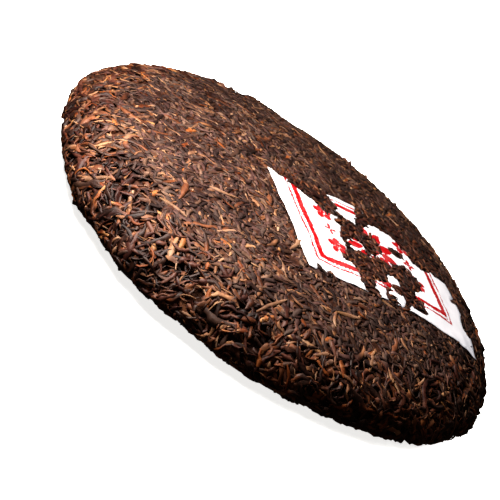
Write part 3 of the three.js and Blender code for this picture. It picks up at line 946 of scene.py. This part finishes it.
def ticket_grid():
    """Corner points of the sheet in millimetres round the disc's middle, and its faces."""
    columns = round(TICKET_LENGTH / PAPER_STEP)
    rows = round(TICKET_WIDTH / PAPER_STEP)
    offset = np.array(TICKET_FROM_MIDDLE.xy) / MM
    points = []
    for row in range(rows + 1):
        for column in range(columns + 1):
            u, v = column / columns, row / rows
            x, y = (u - 0.5) * TICKET_LENGTH, (v - 0.5) * TICKET_WIDTH
            wander = EDGE_WANDER * noise.noise(Vector((x / WANDER_SIZE, y / WANDER_SIZE, WANDER_SEED)))
            x += wander * (2 * u - 1) ** EDGE_ONLY
            y += wander * (2 * v - 1) ** EDGE_ONLY
            to_corner = u**3 * (1 - v) ** 2  # 1 at the corner that is pulled, and soon fading
            x += CORNER_PULL[0] * to_corner
            y += CORNER_PULL[1] * to_corner
            points.append((x + offset[0], y + offset[1], 0.0))
    across = columns + 1
    corners = [r * across + c for r in range(rows) for c in range(columns)]
    faces = [(i, i + 1, i + across + 1, i + across) for i in corners]
    return np.array(points), faces, (rows + 1, across)


# %% Ticket sheet
from mathutils.bvhtree import BVHTree

PAPER_ABOVE = 0.25  # of the bare paper over the skin
PAPER_SINK = 1.4  # how much lower the paper lies under a patch of leaf
PATCH_EDGE = (-0.02, 0.1)  # from bare to covered, it goes down between these
PAPER_DIMPLES = [(6.0, 0.22), (2.6, 0.12)]  # the leaf beneath shows through as dimples
TIMES_EVENED = 3

skin_tree = BVHTree.FromPolygons([v.co for v in skin.vertices], [p.vertices for p in skin.polygons])


def height_of_skin(x, y):
    hit = skin_tree.ray_cast(Vector((x, y, 2 * CROWN_HEIGHT)), Vector((0, 0, -1)))[0]
    return hit.z


def evened(heights, shape, times):
    """Heights averaged with their neighbours a few times, as paper evens out what it lies on."""
    grid = heights.reshape(shape)
    for _ in range(times):
        padded = np.pad(grid, 1, mode="edge")
        grid = (padded[:-2, 1:-1] + padded[2:, 1:-1] + padded[1:-1, :-2] + padded[1:-1, 2:] + 2 * grid) / 6
    return grid.ravel()


sheet_points, sheet_faces, sheet_shape = ticket_grid()
draped = np.array([height_of_skin(x, y) for x, y, _ in sheet_points])
dimples = lumps(sheet_points, PAPER_DIMPLES, seed=31)
sheet_points[:, 2] = evened(draped, sheet_shape, TIMES_EVENED) + PAPER_ABOVE + dimples
sheet_points[:, 2] -= PAPER_SINK * smoothstep(*PATCH_EDGE, cover_at(sheet_points))
print("ticket sheet:", len(sheet_faces), "faces, up to", sheet_points[:, 2].max().round(1), "mm high")

# %% [markdown]
# ## What is printed on it
#
# The print is a red frame of one broad and one thin line, with plain ornaments inside: a large
# round of petals in the middle, four blossoms round it and a rosette on either side. Instead
# of painting an image, every point of the sheet stores its distance to the nearest printed
# shape, which is below zero inside one. The finish then inks whatever is below zero, and a
# little noise makes the edge of the ink as uneven as a wood block's.

# %% Distances to plain shapes
def to_rectangle(x, y, half_x, half_y):
    return np.maximum(abs(x) - half_x, abs(y) - half_y)


def to_ring(x, y, radius, half_line):
    return abs(np.hypot(x, y) - radius) - half_line


def to_petal(x, y, half_length, half_width):
    """Distance to a pointed oval along X, the part that two equal circles share."""
    radius = (half_length**2 + half_width**2) / (2 * half_width)
    return np.hypot(x, abs(y) + radius - half_width) - radius


def petals_round(x, y, count, out, half_length, half_width):
    """Distance to a round of petals that point away from the middle."""
    petals = []
    for turn in np.arange(count) * tau / count + pi / 2:
        along = x * cos(turn) + y * sin(turn)
        over = y * cos(turn) - x * sin(turn)
        petals.append(to_petal(along - out, over, half_length, half_width))
    return np.minimum.reduce(petals)


# %% The print
FRAME_MIDDLE = (-1.5, 2.2)
FRAME_HALF = (31.5, 21.8)
FRAME_LINE = 1.3  # half the broad line's width
THIN_LINE = 0.5
THIN_LINE_OUT = 3.2  # how far outside the broad line the thin one runs
SIDEWAYS, UP = 20.5, 10.5  # from the middle out to the blossoms
# Petals: how many, how far out, half length, half width
BIG_ROUND = (10, 9.2, 4.4, 2.4)
BLOSSOM = (5, 2.9, 1.9, 1.6)
ROSETTE = (4, 1.9, 1.7, 0.8)
# Rings in their middles: radius and half the line's width; without a radius it is a dot
BIG_RING = (3.4, 1.0)
BLOSSOM_EYE = (0.0, 0.8)


def print_distance(x, y):
    x, y = x - FRAME_MIDDLE[0], y - FRAME_MIDDLE[1]
    edge = to_rectangle(x, y, *FRAME_HALF)
    shapes = [abs(edge) - FRAME_LINE, abs(edge - THIN_LINE_OUT) - THIN_LINE]
    shapes += [to_ring(x, y, *BIG_RING), petals_round(x, y, *BIG_ROUND)]
    for out in (-SIDEWAYS, SIDEWAYS):
        shapes.append(petals_round(x - out, y, *ROSETTE))
        for rise in (-UP, UP):
            shapes.append(petals_round(x - out, y - rise, *BLOSSOM))
            shapes.append(to_ring(x - out, y - rise, *BLOSSOM_EYE))
    return np.minimum.reduce(shapes)


sheet = bpy.data.meshes.new("paper_sheet")
sheet.from_pydata(sheet_points.tolist(), [], sheet_faces)
sheet_places = on_ticket(sheet_points)
printed = print_distance(sheet_places[:, 0], sheet_places[:, 1])
store(sheet, "print", printed)
sheet.transform(INTO_FRAME)
sheet.shade_smooth()
print("ink on", round(100 * (printed < 0).mean()), "% of the ticket")

# %% [markdown]
# ## Rag paper and its ink
#
# Thin handmade paper is white, matt and a little cloudy, with short fibres in it that raise
# its surface. The ink is a deep red that sank in, so it's as matt as the paper, and the fibres
# make it darker and lighter and fray its edge.

# %% Sizes of the paper's pattern and its print
FIBRE = 0.9 * MM  # size of the tufts of fibre; a single fibre is too fine to show
FIBRE_HEIGHT = 0.1 * MM
FIBRE_RELIEF = 0.35
CLOUD = 9.0 * MM  # size of the thicker and thinner places of the sheet
INK_FUZZ = 0.3  # how far the fibres move the edge of the ink, in millimetres
CLOUD_FUZZ = -0.2  # and how far the clouds move it, the other way
INK_EDGE = {1: -0.15, 2: 0.15}  # the ink fades out between these distances
INK_PATCH = 3.5 * MM  # size of the places where the block pressed harder or softer
INK_LEAST = 0.96  # share of ink where it pressed softest
PRESSING_SPAN = {1: 0.4, 2: 0.55}  # the noise at the softest and at the full print


# %% Paper finish
def rag_paper():
    material, tree, shader = blank_material("rag paper with block print")
    place = add(tree, "ShaderNodeTexCoord").outputs["Object"]
    clouds, fibres, pressing = [
        add(tree, NOISE, {}, {"Vector": place, "Scale": 1 / size, "Detail": detail})
        for size, detail in ((CLOUD, 4.0), (FIBRE, 4.0), (INK_PATCH, 3.0))
    ]
    paper = add(tree, RAMP, {}, {0: clouds})
    fill_stops(paper, ["e6e8ec", "eff1f4", "f6f8fa"])
    ink = add(tree, RAMP, {}, {0: fibres})
    fill_stops(ink, ["94040a", "ac0a12", "c01c20"])
    distance = add(tree, READ, {"attribute_name": "print"}).outputs["Fac"]
    distance = shifted(tree, distance, ((fibres, INK_FUZZ), (clouds, CLOUD_FUZZ)))
    pressing = add(tree, RANGE, {}, PRESSING_SPAN | {0: pressing, 3: INK_LEAST, 4: 1.0})
    inked = add(tree, RANGE, {}, INK_EDGE | {0: distance, 3: 1.0, 4: 0.0})
    inked = add(tree, MATH, TIMES, {0: inked, 1: pressing})
    colour = add(tree, MIX, {"data_type": "RGBA"}, {0: inked, 6: paper.outputs[0], 7: ink.outputs[0]})
    raised = {"Strength": FIBRE_RELIEF, "Distance": FIBRE_HEIGHT, "Height": fibres}
    bump = add(tree, "ShaderNodeBump", {}, raised)
    surface = {"Base Color": colour.outputs[2], "Normal": bump}
    feed(tree, shader, surface | {"Roughness": 0.85, "Specular IOR Level": 0.1})
    return material


# %% The finished ticket
PAPER_THICKNESS = 0.15  # in millimetres, as of a thin sheet made by hand

sheet.materials.append(rag_paper())
paper_sheet = piece_from(sheet, "paper_sheet")
thickness = paper_sheet.modifiers.new("thickness", "SOLIDIFY")
thickness.thickness = PAPER_THICKNESS * MM
thickness.offset = -1
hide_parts("paper_ticket")
print("paper_sheet:", len(sheet.polygons), "faces,", PAPER_THICKNESS, "mm thick")

# %% [markdown]
# ## Leaf over the ticket
#
# Some leaf fell on top of the ticket before the press closed, so it now covers parts of the
# print. The same tree grows it, only over those places and a little higher than the leaves
# beside the ticket. The leaves are shorter too, so that they keep inside their patch.

# %% Cover leaves
COVER = PRESSED | {"level": (0.15, 0.6), "length": (2.5, 5.5)}
grow("cover_black", black_leaf, "over_ticket", 41, spacing=1.6, **COVER)
grow("cover_plum", plum_leaf, "over_ticket", 42, spacing=1.8, **COVER)
grow("cover_umber", umber_leaf, "over_ticket", 43, spacing=2.5, **COVER)

# %% [markdown]
# ## Table and light
#
# The photograph has one soft light close by, high on the left. Because it is so close, the
# left of the cake gets several times the light of its right, and the rim on the right falls
# into shade. A weak light from behind lets the cake read well from there too, and a dim warm
# world fills the shade. The paper has a soft fill of its own, so that it stays white where
# the key light is weak. The table is a pale, plain flat sheet that glows a little under a wide
# lamp of its own, and it throws none of that light back on the cake. The look with more
# contrast deepens the gaps between the leaves, as in the photograph.

# %% Table
TABLE_SIZE = 40.0  # metres, so that its edge is out of every view
TABLE_GLOW = 0.75
# A sheet pressed smooth and matt: an even ground, nearly white, without highlights
TABLE_COLOUR = linear("f6f5f3")

bpy.ops.mesh.primitive_plane_add(size=TABLE_SIZE, location=(0, 0, 0))
table = bpy.context.object
table.name = "table"
laminate, laminate_tree, laminate_shader = blank_material("pale matt laminate")
feed(laminate_tree, laminate_shader, {"Base Color": TABLE_COLOUR, "Roughness": 0.8})
feed(laminate_tree, laminate_shader, {"Emission Color": TABLE_COLOUR, "Emission Strength": TABLE_GLOW})
table.data.materials.append(laminate)
table.visible_diffuse = False
table.visible_glossy = False
print("table:", TABLE_SIZE, "m wide")

# %% Look and world
bpy.context.scene.view_settings.view_transform = "Standard"
bpy.context.scene.view_settings.look = "Medium High Contrast"
world = bpy.data.worlds.new("studio")
bpy.context.scene.world = world
world.use_nodes = True
background = world.node_tree.nodes["Background"]
feed(world.node_tree, background, {"Color": linear("ffd2b4"), "Strength": 0.042})

# %% Lights
def soft_box(name, azimuth, elevation, distance, size, power, colour):
    """A square area light that looks at the cake; its azimuth is counted from the camera's."""
    light = bpy.data.lights.new(name, "AREA")
    light.shape = "SQUARE"
    light.size = size
    light.energy = power
    light.color = linear(colour)[:3]
    lamp = bpy.data.objects.new(name, light)
    bpy.context.scene.collection.objects.link(lamp)
    place = seen_from(CAMERA_AZIMUTH + radians(azimuth), radians(elevation), distance)
    lamp.matrix_world = aimed(place, disc_middle)
    lamp.visible_camera = False
    return lamp


def lights_only(lamp, lit):
    """Links a lamp to one object, so that it lights nothing else."""
    only = bpy.data.collections.new("lit by the " + lamp.name)
    only.objects.link(lit)
    lamp.light_linking.receiver_collection = only


# Degrees round from the camera and up, metres away and across, watts and colour
soft_box("key", -55, 49, 0.182, 0.12, 0.74, "fff4ec")
soft_box("back", 165, 28, 1.2, 0.8, 0.6, "fff0e6")
lights_only(soft_box("table lamp", 0, 89, 3.0, 4.0, 400, "ffffff"), table)
lights_only(soft_box("paper fill", 60, 60, 1.0, 0.8, 4.3, "f4f6ff"), paper_sheet)
print("lamps:", [light.name for light in bpy.data.lights])

# %% [markdown]
# ## The count of triangles
#
# Last, the triangles of all the pieces are counted. The leaves may stand only a little proud
# of the solids.

# %% Triangles in all
total = sum(sum(len(face.vertices) - 2 for face in piece.data.polygons) for piece in pieces)
print("triangles in all:", total)
